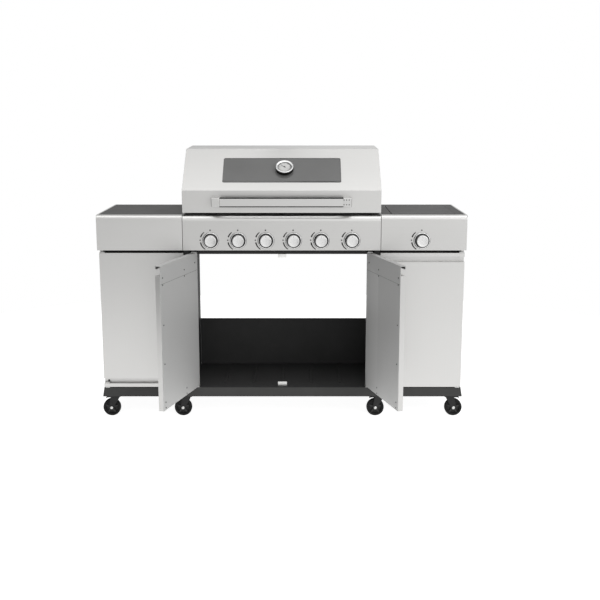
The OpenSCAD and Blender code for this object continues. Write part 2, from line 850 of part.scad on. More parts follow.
module lid_thermometer() {
  color("lightgray") placed() on_slope(gauge_along) translate([gauge_x, 0, 0]) {
    difference() {
      translate([0, 0, -2]) cylinder(h = 20, r = 39.5);
      translate([0, 0, 14]) cylinder(h = 10, r = 30);
    }
    translate([0, 0, -60]) cylinder(h = 60, r = 3);
    translate([0, 0, -sheet - 10]) cylinder(h = 6, r = 10);
  }
}

// ---- doors ----

// A door's outer skin: a folded pan, drawn with its hinge edge at X = 0, its pivot's middle
// plane at Y = 0 and its lower edge at Z = 0. The finger pull is along the upper edge.
liner_t = 1.5;
skin_back = door_t / 2 - liner_t;
module door_skin(w) {
  top = door_h - pull_h;
  difference() {
    block(0, w, -door_t / 2, skin_back - 0.1, 0, top);
    block(skin, w - skin, -door_t / 2 + skin, skin_back + cut, skin, top - skin);
    bar_z(-cut, skin + cut, pivot_in, 0, pin_r + 3.5);
  }
}

// A door's inner liner: the back sheet, the hook-shaped top rail, pivot blocks and screws
rail_front = 16;
rail_rear = 5;
module door_liner(w) {
  f = -door_t / 2;
  b = door_t / 2;
  difference() {
    union() {
      block(0, w, skin_back, b, 0, door_h);
      along_x(0, w) polygon([[f, door_h], [skin_back, door_h], [skin_back, door_h - rail_rear],
        [f, door_h - rail_front]]);
      for (z = [skin + 0.1, door_h - 20])
        block(skin + 0.2, 24, -8, skin_back, z, z + 20 - skin - 0.1);
    }
    // The rail is hollow between the pivot block and the free edge
    along_x(26, w + cut) polygon([[f + skin, door_h - skin], [skin_back, door_h - skin],
      [skin_back, door_h - rail_rear + 0.5], [f + skin, door_h - rail_front + 2]]);
    bar_z(-cut, pin_deep + 2, pivot_in, 0, pin_r + run);
    bar_z(door_h - pin_deep - 2, door_h + cut, pivot_in, 0, pin_r + run);
  }
  // Screw heads on the inner face
  for (z = [9.5, 33, 195, 358, 524, 553]) bar_y(b, b + 0.8, w - 22, z, 3);
  for (z = [7, 32, 524, 551]) bar_y(b, b + 0.8, 149, z, 3);
  bar_y(b, b + 0.8, 30, door_h - 41, 3);
}

// Puts a left-hand centre door at its pivot, standing open
module centre_door_place() {
  translate([-centre_pivot, pivot_y, door_low]) rotate([0, 0, -door_open])
    translate([-pivot_in, 0, 0]) children();
}

module left_door_skin() {
  color(steel) placed() centre_door_place() door_skin(centre_door_w);
}

module left_door_liner() {
  color("gray") placed() centre_door_place() door_liner(centre_door_w);
}

module right_door_skin() {
  color(steel) placed() mirror([1, 0, 0]) centre_door_place() door_skin(centre_door_w);
}

module right_door_liner() {
  color("gray") placed() mirror([1, 0, 0]) centre_door_place() door_liner(centre_door_w);
}

// A closed side door. The left one is the same door turned upside down
module side_door() {
  door_skin(side_door_w);
  door_liner(side_door_w);
}

module right_side_door() {
  color(steel) placed() translate([side_edge, pivot_y, door_low]) mirror([1, 0, 0]) side_door();
}

module left_side_door() {
  color(steel) placed() translate([-side_edge, pivot_y, door_high]) mirror([0, 0, 1])
    side_door();
}

base_frame();
floor_pans();
outer_side_panels();
partition_panels();
side_back_panels();
centre_back_panel();
crossbeams();
door_catches();
hinge_pins();
caster_plates();
control_panel();
left_fascia();
right_fascia();
left_worktop();
right_worktop();
knob_bezels();
gas_manifold();
firebox();
burners();
flame_tamers();
cooking_grates();
griddle_plate();
warming_rack();
side_burner();
screws();
grease_tray();
side_burner_lid();
lid_shell();
lid_window();
lid_handle();
lid_thermometer();
left_door_skin();
left_door_liner();
right_door_skin();
right_door_liner();
left_side_door();
right_side_door();
knob_at(0);  // knob_1
knob_at(1);  // knob_2
knob_at(2);  // knob_3
knob_at(3);  // knob_4
knob_at(4);  // knob_5
knob_at(5);  // knob_6
knob_at(6);  // knob_7
caster_fork(0);  // caster_fork_1
caster_fork(1);  // caster_fork_2
caster_fork(2);  // caster_fork_3
caster_fork(3);  // caster_fork_4
caster_fork(4);  // caster_fork_5
caster_fork(5);  // caster_fork_6
caster_fork(6);  // caster_fork_7
caster_fork(7);  // caster_fork_8
caster_wheel(0);  // caster_wheel_1
caster_wheel(1);  // caster_wheel_2
caster_wheel(2);  // caster_wheel_3
caster_wheel(3);  // caster_wheel_4
caster_wheel(4);  // caster_wheel_5
caster_wheel(5);  // caster_wheel_6
caster_wheel(6);  // caster_wheel_7
caster_wheel(7);  // caster_wheel_8
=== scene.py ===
import json
import math

import bmesh
import bpy
from mathutils import Matrix, Vector


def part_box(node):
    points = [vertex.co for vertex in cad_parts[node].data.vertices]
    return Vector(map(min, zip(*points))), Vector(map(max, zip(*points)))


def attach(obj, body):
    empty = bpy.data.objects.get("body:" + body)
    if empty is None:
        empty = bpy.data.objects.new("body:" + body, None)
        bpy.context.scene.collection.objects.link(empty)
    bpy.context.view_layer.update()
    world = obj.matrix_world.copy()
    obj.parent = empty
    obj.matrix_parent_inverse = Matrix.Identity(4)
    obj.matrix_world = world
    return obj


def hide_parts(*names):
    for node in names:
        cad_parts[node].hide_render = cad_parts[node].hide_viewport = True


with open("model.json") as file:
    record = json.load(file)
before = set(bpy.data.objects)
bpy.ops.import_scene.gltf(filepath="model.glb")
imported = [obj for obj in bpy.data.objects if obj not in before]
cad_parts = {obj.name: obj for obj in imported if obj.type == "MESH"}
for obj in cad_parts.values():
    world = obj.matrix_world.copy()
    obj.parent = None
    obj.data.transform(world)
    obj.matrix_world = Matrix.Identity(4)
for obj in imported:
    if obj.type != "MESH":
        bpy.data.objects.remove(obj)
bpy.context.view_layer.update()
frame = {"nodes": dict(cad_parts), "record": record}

NODES = frame["nodes"]
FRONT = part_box("control_panel")[0].y  # the plane of the control panels' faces


def P(x, y, z):
    """A point in millimetres, with y measured back from the control panels' faces."""
    return Vector((x / 1000, FRONT + y / 1000, z / 1000))


# ---------------------------------------------------------------- camera and light

scene = bpy.context.scene
scene.view_settings.view_transform = "Standard"
scene.view_settings.look = "None"
scene.view_settings.exposure = 0
scene.view_settings.gamma = 1

cam = bpy.data.cameras.new("Camera")
cam.sensor_width = 36
cam.lens = 58.73
cam.clip_end = 100
cam_obj = bpy.data.objects.new("Camera", cam)
scene.collection.objects.link(cam_obj)
cam_obj.location = P(78.6, -4183.7, 1369.9)
cam_obj.rotation_euler = (math.radians(90 - 11.22), 0, 0)
scene.camera = cam_obj


def area(name, at, aim, size, power, color=(1, 1, 1)):
    lamp = bpy.data.lights.new(name, "AREA")
    lamp.shape = "RECTANGLE"
    lamp.size, lamp.size_y = size
    lamp.energy = power
    lamp.color = color
    o = bpy.data.objects.new(name, lamp)
    o.location = at
    o.rotation_euler = (Vector(aim) - Vector(at)).to_track_quat("-Z", "Y").to_euler()
    scene.collection.objects.link(o)
    return o


area("key", (3.4, -3.8, 2.0), (0.3, 0, 0.7), (2.6, 2.2), 42)
area("top", (0.0, -0.7, 3.4), (0, 0.05, 0.9), (4.2, 2.0), 36)

world = bpy.data.worlds.new("World")
scene.world = world
world.use_nodes = True
wn = world.node_tree
soft = wn.nodes["Background"]
# The room is brightest just right of centre and halfway up, and dimmer at the far left, low down and behind
way = wn.nodes.new("ShaderNodeTexCoord")
split = wn.nodes.new("ShaderNodeSeparateXYZ")
wn.links.new(way.outputs["Generated"], split.inputs[0])


def room(axis, stops):
    """A brightness that depends on one component of the direction, from -1 to 1."""
    span = wn.nodes.new("ShaderNodeMapRange")
    span.inputs["From Min"].default_value = -1
    span.inputs["From Max"].default_value = 1
    wn.links.new(split.outputs[axis], span.inputs["Value"])
    node = wn.nodes.new("ShaderNodeValToRGB")
    ends = node.color_ramp.elements
    for end, (at, value) in ((ends[0], stops[0]), (ends[1], stops[-1])):
        end.position = (at + 1) / 2
        end.color = (value, value, value, 1)
    for at, value in stops[1:-1]:
        ends.new((at + 1) / 2).color = (value, value, value, 1)
    wn.links.new(span.outputs["Result"], node.inputs["Fac"])
    return node.outputs["Color"]



def times(a, b):
    """The product of two brightnesses."""
    node = wn.nodes.new("ShaderNodeMix")
    node.data_type = "RGBA"
    node.blend_type = "MULTIPLY"
    node.inputs["Factor"].default_value = 1.0
    wn.links.new(a, node.inputs["A"])
    wn.links.new(b, node.inputs["B"])
    return node.outputs["Result"]


TO_RIGHT = [
    (-1, 0.12), (-0.63, 0.14), (-0.36, 0.42), (-0.16, 0.80), (0.14, 1.0), (0.4, 0.94), (0.63, 0.62), (1, 0.5),
]
TO_TOP = [(-1, 0.46), (-0.3, 0.68), (0.0, 0.76), (0.25, 0.94), (0.5, 1.0), (0.75, 0.90), (1, 0.66)]
TO_BACK = [(-1, 1.0), (-0.2, 1.0), (0.5, 0.72), (1, 0.60)]
lit = times(times(room("X", TO_RIGHT), room("Z", TO_TOP)), room("Y", TO_BACK))
wn.links.new(lit, soft.inputs["Color"])
soft.inputs["Strength"].default_value = 1.68
back = wn.nodes.new("ShaderNodeBackground")
back.inputs["Color"].default_value = (1, 1, 1, 1)
back.inputs["Strength"].default_value = 1.0
seen = wn.nodes.new("ShaderNodeLightPath")
pick = wn.nodes.new("ShaderNodeMixShader")
wn.links.new(seen.outputs["Is Camera Ray"], pick.inputs["Fac"])
wn.links.new(soft.outputs[0], pick.inputs[1])
wn.links.new(back.outputs[0], pick.inputs[2])
wn.links.new(pick.outputs[0], wn.nodes["World Output"].inputs["Surface"])

# ---------------------------------------------------------------- materials


class Shader:
    """A small helper round one material's node tree."""

    def __init__(self, name):
        self.mat = bpy.data.materials.new(name)
        self.mat.use_nodes = True
        self.tree = self.mat.node_tree
        self.bsdf = self.tree.nodes["Principled BSDF"]
        self.coord = self.tree.nodes.new("ShaderNodeTexCoord")

    def set(self, **values):
        for key, value in values.items():
            self.bsdf.inputs[key.replace("_", " ")].default_value = value
        return self

    def link(self, a, b):
        self.tree.links.new(a, b)

    def mapping(self, scale):
        node = self.tree.nodes.new("ShaderNodeMapping")
        node.inputs["Scale"].default_value = scale
        self.link(self.coord.outputs["Object"], node.inputs["Vector"])
        return node.outputs["Vector"]

    def noise(self, scale=1.0, stretch=(1, 1, 1), detail=3.0, rough=0.5):
        node = self.tree.nodes.new("ShaderNodeTexNoise")
        node.inputs["Scale"].default_value = scale
        node.inputs["Detail"].default_value = detail
        node.inputs["Roughness"].default_value = rough
        self.link(self.mapping(stretch), node.inputs["Vector"])
        return node.outputs["Fac"]

    def ramp(self, fac, stops):
        node = self.tree.nodes.new("ShaderNodeValToRGB")
        ends = node.color_ramp.elements
        ends[0].position, ends[0].color = stops[0][0], (*stops[0][1], 1)
        ends[1].position, ends[1].color = stops[-1][0], (*stops[-1][1], 1)
        for at, col in stops[1:-1]:
            ends.new(at).color = (*col, 1)
        self.link(fac, node.inputs["Fac"])
        return node.outputs["Color"]

    def remap(self, fac, low, high, a=0.0, b=1.0):
        node = self.tree.nodes.new("ShaderNodeMapRange")
        node.inputs["From Min"].default_value = a
        node.inputs["From Max"].default_value = b
        node.inputs["To Min"].default_value = low
        node.inputs["To Max"].default_value = high
        self.link(fac, node.inputs["Value"])
        return node.outputs["Result"]

    def mix(self, fac, a, b, mode="MIX"):
        node = self.tree.nodes.new("ShaderNodeMix")
        node.data_type = "RGBA"
        node.blend_type = mode
        if isinstance(fac, (int, float)):
            node.inputs["Factor"].default_value = fac
        else:
            self.link(fac, node.inputs["Factor"])
        for value, socket in ((a, node.inputs["A"]), (b, node.inputs["B"])):
            if isinstance(value, tuple):
                socket.default_value = (*value, 1)
            else:
                self.link(value, socket)
        return node.outputs["Result"]

    def edges(self, low=0.52, high=0.6):
        geo = self.tree.nodes.new("ShaderNodeNewGeometry")
        return self.remap(geo.outputs["Pointiness"], 0.0, 1.0, low, high)

    def bump(self, height, strength, distance):
        node = self.tree.nodes.new("ShaderNodeBump")
        node.inputs["Strength"].default_value = strength
        node.inputs["Distance"].default_value = distance
        self.link(height, node.inputs["Height"])
        self.link(node.outputs["Normal"], self.bsdf.inputs["Normal"])
        return self

    def color(self, socket):
        self.link(socket, self.bsdf.inputs["Base Color"])
        return self

    def rough(self, socket):
        self.link(socket, self.bsdf.inputs["Roughness"])
        return self


def brushed(name, grain, base, rough, metallic=1.0, depth=0.00004):
    """Steel with fine streaks along the axis where the grain's scale is small."""
    s = Shader(name).set(Metallic=metallic, Anisotropic=0.35)
    fine = s.noise(1.0, grain, 4.0, 0.7)
    broad = s.noise(1.0, (2.2, 2.2, 2.2), 3.0, 0.6)
    dark = tuple(c * 0.95 for c in base)
    light = tuple(min(1, c * 1.04) for c in base)
    shade = s.ramp(fine, [(0.2, dark), (0.8, light)])
    cloud = s.ramp(broad, [(0.25, (0.965, 0.965, 0.965)), (0.75, (1.0, 1.0, 1.0))])
    both = s.mix(1.0, shade, cloud, "MULTIPLY")
    worn = s.mix(s.edges(0.53, 0.62), both, tuple(min(1, c * 1.08) for c in base))
    s.color(worn)
    s.rough(s.remap(fine, rough - 0.05, rough + 0.07, 0.2, 0.8))
    s.bump(fine, 0.25, depth)
    return s.mat


ACROSS = (3, 900, 900)
UPRIGHT = (900, 900, 3)

STEEL = brushed("stainless_across", ACROSS, (0.53, 0.527, 0.518), 0.36)
STEEL_UP = brushed("stainless_upright", UPRIGHT, (0.53, 0.527, 0.518), 0.36)
INNER = brushed("stainless_inner", UPRIGHT, (0.50, 0.50, 0.495), 0.62, 0.8)


def painted(name, base, rough, orange=0.00003, worn=(0.25, 0.25, 0.25), spec=0.5, scale=700):
    """A sprayed or enamelled coat: fine orange peel, faint dust, lighter along worn edges."""
    s = Shader(name).set(Metallic=0.0)
    s.bsdf.inputs["Specular IOR Level"].default_value = spec
    peel = s.noise(scale, (1, 1, 1), 2.0, 0.5)
    dust = s.noise(7.0, (1, 1, 1), 5.0, 0.65)
    shade = s.ramp(dust, [(0.3, base), (0.75, tuple(min(1, c * 1.25 + 0.004) for c in base))])
    s.color(s.mix(s.edges(0.55, 0.7), shade, worn))
    s.rough(s.remap(dust, rough - 0.05, rough + 0.08, 0.3, 0.75))
    s.bump(peel, 0.3, orange)
    return s.mat


BLACK = painted("black_satin_coat", (0.019, 0.019, 0.019), 0.6, 0.00003, (0.05, 0.05, 0.05), 0.13)
PLINTH = painted("black_base_coat", (0.026, 0.026, 0.025), 0.55, 0.00003, (0.08, 0.08, 0.08), 0.24)
# The worktops' dark tone is painted reflection: it stands in for their steel reflecting dark surroundings.
WORKTOP = painted("worktop_painted_dark_reflection", (0.050, 0.050, 0.049), 0.5, 0.00002, (0.11, 0.11, 0.11), 0.06)
IRON = painted("cast_iron", (0.030, 0.030, 0.031), 0.62, 0.0002, (0.09, 0.09, 0.09), 0.4, 420)


def plated(name, base, rough, scale=300):
    """Plated or polished metal with a fine mottle."""
    s = Shader(name).set(Metallic=1.0)
    spots = s.noise(scale, (1, 1, 1), 3.0, 0.55)
    shade = s.ramp(spots, [(0.3, tuple(c * 0.86 for c in base)), (0.7, base)])
    s.color(s.mix(s.edges(0.54, 0.66), shade, tuple(min(1, c * 1.15) for c in base)))
    s.rough(s.remap(spots, rough - 0.05, rough + 0.08, 0.3, 0.7))
    s.bump(spots, 0.12, 0.00003)
    return s.mat


ZINC = plated("zinc_plate", (0.62, 0.62, 0.61), 0.34)
CHROME = plated("satin_chrome", (0.56, 0.56, 0.56), 0.22, 160)
KNOB_FACE = plated("knob_face", (0.66, 0.66, 0.655), 0.30, 220)
BRIGHT = plated("bright_bezel", (0.84, 0.84, 0.84), 0.16, 160)
BRASS = plated("brass", (0.72, 0.53, 0.24), 0.32)


def plastic(name, base, rough, grain=900, depth=0.00005):
    """A dull moulded surface, slightly clouded and finely grained."""
    s = Shader(name)
    fine = s.noise(grain, (1, 1, 1), 2.0, 0.5)
    cloud = s.noise(16.0, (1, 1, 1), 4.0, 0.6)
    dark = tuple(c * 0.85 for c in base)
    light = tuple(min(1, c * 1.2) for c in base)
    shade = s.ramp(cloud, [(0.3, dark), (0.75, light)])
    s.color(s.mix(s.edges(0.55, 0.7), shade, tuple(min(1, c * 1.8 + 0.02) for c in base)))
    s.rough(s.remap(cloud, rough - 0.06, rough + 0.08, 0.3, 0.7))
    s.bump(fine, 0.25, depth)
    s.bsdf.inputs["Specular IOR Level"].default_value = 0.14
    return s.mat


TYRE = plastic("wheel_tread", (0.0075, 0.0075, 0.0075), 0.5)
HUB = plastic("wheel_hub", (0.012, 0.012, 0.012), 0.42)
KNOB_BODY = plastic("knob_body", (0.05, 0.05, 0.05), 0.4)
# This black also serves as painted shade: the disc and ring round each knob, the handle's channel and the
# window seal's top band.
RUBBER_AND_SHADE = plastic("gasket_and_shade", (0.006, 0.006, 0.006), 0.6)
# This black also paints the shade ring at the edge of the gauge's dial.
INK_AND_SHADE = plastic("printed_mark_and_shade", (0.006, 0.006, 0.006), 0.7)
DIAL = plastic("dial_face", (0.36, 0.36, 0.355), 0.5)


def glass(name):
    """A dark, slightly clouded pane."""
    s = Shader(name).set(Metallic=0.0)
    s.bsdf.inputs["IOR"].default_value = 1.5
    smoke = s.noise(5.0, (1, 1, 1), 3.0, 0.5)
    s.color(s.ramp(smoke, [(0.3, (0.095, 0.095, 0.094)), (0.7, (0.105, 0.105, 0.104))]))
    s.rough(s.remap(smoke, 0.16, 0.22, 0.3, 0.7))
    return s.mat


GLASS = glass("smoked_window")

LOOKS = {
    "stainless": STEEL,
    "stainless_inner": INNER,
    "worktop_steel": WORKTOP,
    "black_enamel": BLACK,
    "cast_iron": IRON,
    "zinc": ZINC,
    "knob_metal": CHROME,
    "smoked_glass": GLASS,
    "brass": BRASS,
    "wheel_plastic": TYRE,
}
SLOTS = {s["node"]: s["material_slot"] for s in frame["record"]["subparts"]}


def dress(node, mat=None, bevel=0.0006, segments=2, angle=35):
    """Gives a carried-over CAD node its material and softens its edges."""
    o = NODES[node]
    mat = mat or LOOKS[SLOTS[node]]
    o.data.materials.clear()
    o.data.materials.append(mat)
    for poly in o.data.polygons:
        poly.use_smooth = True
    weld = o.modifiers.new("weld", "WELD")
    weld.merge_threshold = 1e-6
    if bevel:
        b = o.modifiers.new("bevel", "BEVEL")
        b.width = bevel
        b.segments = segments
        b.limit_method = "ANGLE"
        b.angle_limit = math.radians(angle)
        b.use_clamp_overlap = True
        b.harden_normals = False
    n = o.modifiers.new("normals", "WEIGHTED_NORMAL")
    n.keep_sharp = False
    n.weight = 60
    return o


for node_name in NODES:
    dress(node_name)
UPRIGHT_SHEETS = (
    "left_door_skin", "right_door_skin", "left_side_door", "right_side_door", "outer_side_panels",
)
for node_name in UPRIGHT_SHEETS:
    NODES[node_name].data.materials[0] = STEEL_UP
NODES["base_frame"].data.materials[0] = PLINTH

# ---------------------------------------------------------------- shape helpers


def finish_mesh(name, bm, body, mat, sharp=35, hides=(), bevel=0, segments=2):
    """Turns a bmesh (in metres, in the shared frame) into a piece that rides on a body."""
    bmesh.ops.remove_doubles(bm, verts=bm.verts, dist=1e-7)
    bmesh.ops.recalc_face_normals(bm, faces=bm.faces)
    mesh = bpy.data.meshes.new(name)
    bm.to_mesh(mesh)
    bm.free()
    for poly in mesh.polygons:
        poly.use_smooth = True
    mesh.set_sharp_from_angle(angle=math.radians(sharp))
    mesh.materials.append(mat)
    o = bpy.data.objects.new(name, mesh)
    scene.collection.objects.link(o)
    if bevel:
        b = o.modifiers.new("bevel", "BEVEL")
        b.width = bevel
        b.segments = segments
        b.limit_method = "ANGLE"
        b.angle_limit = math.radians(35)
        n = o.modifiers.new("normals", "WEIGHTED_NORMAL")
        n.weight = 60
    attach(o, body)
    if hides:
        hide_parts(*hides)
    return o


def axes(at, along, side=(1, 0, 0)):
    """A matrix with local Z along the given direction and the origin at a point."""
    z = Vector(along).normalized()
    x = Vector(side)
    x = (x - x.dot(z) * z).normalized()
    y = z.cross(x)
    m = Matrix((x, y, z)).transposed().to_4x4()
    m.translation = at
    return m


def spin(bm, profile, m, steps=48):
    """Adds a lathed form to bm. The profile is a list of (radius, height) in millimetres."""
    rings = []
    for r, h in profile:
        if r <= 1e-6:
            rings.append([bm.verts.new(m @ Vector((0, 0, h / 1000)))])
            continue
        ring = []
        for k in range(steps):
            a = 2 * math.pi * k / steps
            ring.append(bm.verts.new(m @ Vector((r / 1000 * math.cos(a), r / 1000 * math.sin(a), h / 1000))))
        rings.append(ring)
    for a, b in zip(rings, rings[1:]):
        if len(a) == 1 and len(b) == 1:
            continue
        for k in range(steps):
            j = (k + 1) % steps
            if len(a) == 1:
                bm.faces.new((a[0], b[k], b[j]))
            elif len(b) == 1:
                bm.faces.new((a[k], b[0], a[j]))
            else:
                bm.faces.new((a[k], a[j], b[j], b[k]))


def plate(bm, outline, low, high, m):
    """Adds a flat plate: an outline in the local X-Y plane, in millimetres, between two heights."""
    a = [bm.verts.new(m @ Vector((x / 1000, y / 1000, low / 1000))) for x, y in outline]
    b = [bm.verts.new(m @ Vector((x / 1000, y / 1000, high / 1000))) for x, y in outline]
    bm.faces.new(list(reversed(a)))
    bm.faces.new(b)
    n = len(outline)
    for k in range(n):
        j = (k + 1) % n
        bm.faces.new((a[k], a[j], b[j], b[k]))


def rounded(w, h, r, steps=6, cx=0.0, cy=0.0):
    """The outline of a rectangle with rounded corners, centred at (cx, cy)."""
    out = []
    for sx, sy, a0 in ((1, 1, 0), (-1, 1, 90), (-1, -1, 180), (1, -1, 270)):
        for k in range(steps + 1):
            a = math.radians(a0 + 90 * k / steps)
            out.append((cx + sx * (w / 2 - r) + r * math.cos(a), cy + sy * (h / 2 - r) + r * math.sin(a)))
    return out


def arc_band(r, thick, a0, a1, steps=16, taper=0.0):
    """The outline of a band along an arc; taper thins it towards a1."""
    inner, outer = [], []
    for k in range(steps + 1):
        f = k / steps
        a = math.radians(a0 + (a1 - a0) * f)
        t = thick * (1 - taper * f) / 2
        outer.append(((r + t) * math.cos(a), (r + t) * math.sin(a)))
        inner.append(((r - t) * math.cos(a), (r - t) * math.sin(a)))
    return outer + inner[::-1]


def disc(r, cx=0.0, cy=0.0, steps=14):
    """The outline of a round dot."""
    turns = [2 * math.pi * k / steps for k in range(steps)]
    return [(cx + r * math.cos(a), cy + r * math.sin(a)) for a in turns]


def up_sign(m):
    """1 where a matrix's local Y points up, and -1 where it points down."""
    return 1 if (m.to_3x3() @ Vector((0, 1, 0))).z > 0 else -1


def upright(outline, m):
    """An outline given as (across, up), turned so that it stands the right way up in the matrix."""
    sign = up_sign(m)
    return [(x, sign * z) for x, z in outline]


# ---------------------------------------------------------------- knobs, bezels and marks

KNOB_X = [-306 + 119 * i for i in range(5)] + [303, 604]
KNOB_Z = 800.5
OUT = (0, -1, 0)

# The cap's outer skin, open at the back, and the face that closes its front
KNOB_PROFILE = [
    (24.0, 4.2), (28.2, 4.0), (28.9, 4.6), (28.9, 9.2), (28.3, 10.4), (27.0, 11.0), (26.5, 12.0),
    (26.2, 19.6), (25.6, 20.6), (24.8, 20.9), (0, 20.9),
]
FACE_PROFILE = [
    (23.6, 20.7), (24.9, 20.9), (25.2, 21.8), (24.8, 23.0), (23.6, 23.9), (22.2, 24.0),
    (20.6, 23.7), (15.0, 23.1), (8.0, 22.8), (0, 22.7),
]
BEZEL_PROFILE = [
    (30.2, 0.3), (30.2, 4.6), (30.9, 5.6), (32.0, 6.0), (33.2, 5.7), (34.6, 3.6),
    (35.4, 2.6), (35.5, 0.1), (30.2, 0.3),
]
# Painted shade: a dark ring just outside each bezel as its shadow line, and a dark disc behind the knob that
# shows as shade in the gap between knob and bezel.
SHADOW_GAP = [(35.4, 0.1), (36.2, 0.1), (36.2, 0.3), (35.4, 0.3), (35.4, 0.1)]
RECESS_SHADE = [(8.0, 0.2), (30.4, 0.2), (30.4, 0.6), (8.0, 0.6), (8.0, 0.2)]
POINTER_RADIUS = 19.5
MARK_OUTLINES = [
    disc(3.1, -2.0, 45.0),
    disc(2.9, -45.5, 2.0),
    arc_band(45.5, 6.0, 161, 128, 14, 0.4),
    arc_band(44.5, 6.0, 190, 238, 16, 0.4),
]


def turned(name, profiles, m, body, mat, steps, hides=()):
    """One piece made of lathed forms that share an axis."""
    bm = bmesh.new()
    for profile, count in zip(profiles, steps):
        spin(bm, profile, m, count)
    return finish_mesh(name, bm, body, mat, 40, hides)


def knob(number, x):
    """A knob with its pointer, and the bezel, the dark recess of painted shade and the printed marks round
    it.
    """
    m = axes(P(x, 0, KNOB_Z), OUT)
    body = f"knob_{number}"
    turned(f"knob_cap_{number}", [KNOB_PROFILE], m, body, KNOB_BODY, [96], (body,))
    turned(f"knob_face_{number}", [FACE_PROFILE], m, body, KNOB_FACE, [96])
    bm = bmesh.new()
    plate(bm, rounded(1.2, 6.0, 0.5, 3, 0, up_sign(m) * POINTER_RADIUS), 22.9, 23.9, m)
    finish_mesh(f"knob_pointer_{number}", bm, body, KNOB_BODY, 40)
    all_bezels = ("knob_bezels",) if number == 1 else ()
    turned(f"bezel_{number}", [BEZEL_PROFILE], m, "cart", BRIGHT, [96], all_bezels)
    turned(f"knob_recess_shade_{number}", [SHADOW_GAP, RECESS_SHADE], m, "cart", RUBBER_AND_SHADE, [72, 48])
    bm = bmesh.new()
    for outline in MARK_OUTLINES:
        plate(bm, upright(outline, m), 0.02, 0.22, m)
    finish_mesh(f"dial_marks_{number}", bm, "cart", INK_AND_SHADE, 40)


for number, x in enumerate(KNOB_X, 1):
    knob(number, x)

# ---------------------------------------------------------------- thermometer

# The lid's sloping front, from its crease up, and the window in it
LID_FRONT, CREASE, RUN, RISE = 10.0, 1015.0, 205.0, 167.0
WINDOW_WIDTH, WINDOW_HEIGHT, WINDOW_START, WINDOW_CORNER = 513.0, 156.0, 49, 8.0
SLOPE = math.hypot(RUN, RISE)
UP_SLOPE = Vector((0, RUN / SLOPE, RISE / SLOPE))
OFF_SLOPE = Vector((0, -RISE / SLOPE, RUN / SLOPE))

GAUGE_X = 11
GAUGE_UP_WINDOW = 0.54  # share of the window's height
GAUGE_HOUSING = [(0, -2.0), (37.0, -2.0), (38.0, -1.0), (38.8, 3.0), (38.8, 12.4), (37.6, 13.2), (0, 13.2)]
GAUGE_PROBE = [(0, -60), (2.4, -59.5), (3.0, -58), (3.0, -2), (0, -2)]
GAUGE_BEZEL = [
    (36.0, 13.0), (38.9, 13.2), (39.5, 13.9), (39.5, 15.9), (38.8, 17.2), (37.0, 18.0), (34.6, 17.9),
    (31.2, 16.8), (28.6, 15.8), (27.9, 14.6), (27.8, 13.0), (36.0, 13.0),
]
GAUGE_DIAL = [(0, 13.05), (27.9, 13.05), (27.9, 13.4), (0, 13.4)]
# A dark ring round the dial's edge, painted shade where the bezel's inner wall shades the dial.
GAUGE_SHADE_RING = [(26.7, 13.42), (27.9, 13.42), (27.9, 13.7), (26.7, 13.7), (26.7, 13.42)]
NEEDLE_HUB = [(0, 13.5), (2.8, 13.5), (2.8, 15.2), (2.0, 15.8), (0, 16.0)]
PRINT_LOW, PRINT_HIGH = 13.42, 13.6
TICKS, TICK_FIRST, TICK_SWEEP, TICK_OUTER = 24, 225, 270, 24.5
NEEDLE_TURN = math.radians(55)


def on_slope(x, along, off=0.0):
    """A point on the lid's slope: along it from the crease, and off it outwards."""
    return P(x, LID_FRONT, CREASE) + UP_SLOPE * (along / 1000) + OFF_SLOPE * (off / 1000)


def tick(bm, k, m, sign):
    """One radial stroke of the gauge's scale; every fourth is longer and bolder."""
    a = math.radians(TICK_FIRST - TICK_SWEEP * k / TICKS)
    inner, half = (18.5, 0.45) if k % 4 == 0 else (21.5, 0.25)
    c, s = math.cos(a), math.sin(a) * sign
    nx, ny = -s, c
    stroke = [
        (inner * c - nx * half, inner * s - ny * half),
        (TICK_OUTER * c - nx * half, TICK_OUTER * s - ny * half),
        (TICK_OUTER * c + nx * half, TICK_OUTER * s + ny * half),
        (inner * c + nx * half, inner * s + ny * half),
    ]
    plate(bm, stroke, PRINT_LOW, PRINT_HIGH, m)


def thermometer():
    """The gauge on the lid: housing with its probe, bezel, dial, printed scale with a dark ring of painted
    shade at the dial's edge, and needle.
    """
    m = axes(on_slope(GAUGE_X, WINDOW_START + WINDOW_HEIGHT * GAUGE_UP_WINDOW), OFF_SLOPE)
    sign = up_sign(m)
    housing = [GAUGE_HOUSING, GAUGE_PROBE]
    turned("gauge_housing", housing, m, "lid", RUBBER_AND_SHADE, [72, 24], ("lid_thermometer",))
    turned("gauge_bezel", [GAUGE_BEZEL], m, "lid", CHROME, [96])
    turned("gauge_dial", [GAUGE_DIAL], m, "lid", DIAL, [72])
    bm = bmesh.new()
    for k in range(TICKS + 1):
        tick(bm, k, m, sign)
    scale_line = arc_band(25.6, 0.5, TICK_FIRST, TICK_FIRST - TICK_SWEEP, 48)
    plate(bm, upright(scale_line, m), PRINT_LOW, PRINT_HIGH, m)
    spin(bm, GAUGE_SHADE_RING, m, 72)
    finish_mesh("gauge_marks_and_shade", bm, "lid", INK_AND_SHADE, 40)
    bm = bmesh.new()
    needle = [(-1.4, -6), (1.4, -6), (0.35, 19), (-0.35, 19)]
    plate(bm, upright(needle, m), 14.0, 14.5, m @ Matrix.Rotation(NEEDLE_TURN * sign, 4, "Z"))
    spin(bm, NEEDLE_HUB, m, 24)
    finish_mesh("gauge_needle", bm, "lid", INK_AND_SHADE, 40)


thermometer()

# ---------------------------------------------------------------- handle

